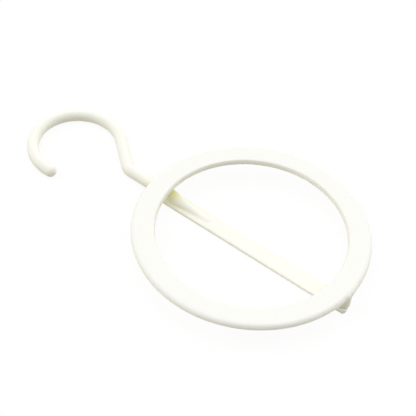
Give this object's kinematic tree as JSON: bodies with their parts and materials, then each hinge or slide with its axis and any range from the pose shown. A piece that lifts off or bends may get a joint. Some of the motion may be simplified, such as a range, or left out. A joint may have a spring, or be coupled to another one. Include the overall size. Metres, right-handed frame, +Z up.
{
  "type": "space-saving hanger",
  "caption": "Flat ring hanger with a sprung bar under the ring and a round rod hook on one side, for scarves, belts and ties.",
  "frame": {"origin": "middle of the bounding box at the underside, on the floor that the hanger lies on", "axes": "+Y along the stem towards the hook, +Z up through the ring's flat face, +X to the open side's right"},
  "size_m": [0.13, 0.2152, 0.0155],
  "materials": {
    "ivory": "satin moulded polypropylene",
    "warm_ivory": "satin moulded polypropylene, slightly warmer"
  },
  "bodies": {
    "moulding": {"ring": "ivory", "hook": "ivory", "neck_post": "ivory", "root_rib": "warm_ivory", "closing_tab": "ivory"},
    "bar": {"bar_strip": "warm_ivory"}
  },
  "joints": [
    {"name": "bar_flex", "type": "hinge", "parent": "moulding", "child": "bar", "pos_m": [0, -0.01495, 0.001], "axis": [1, 0, 0], "range_deg": [0, 8], "stiffness_Nm_per_rad": 0.3}
  ]
}
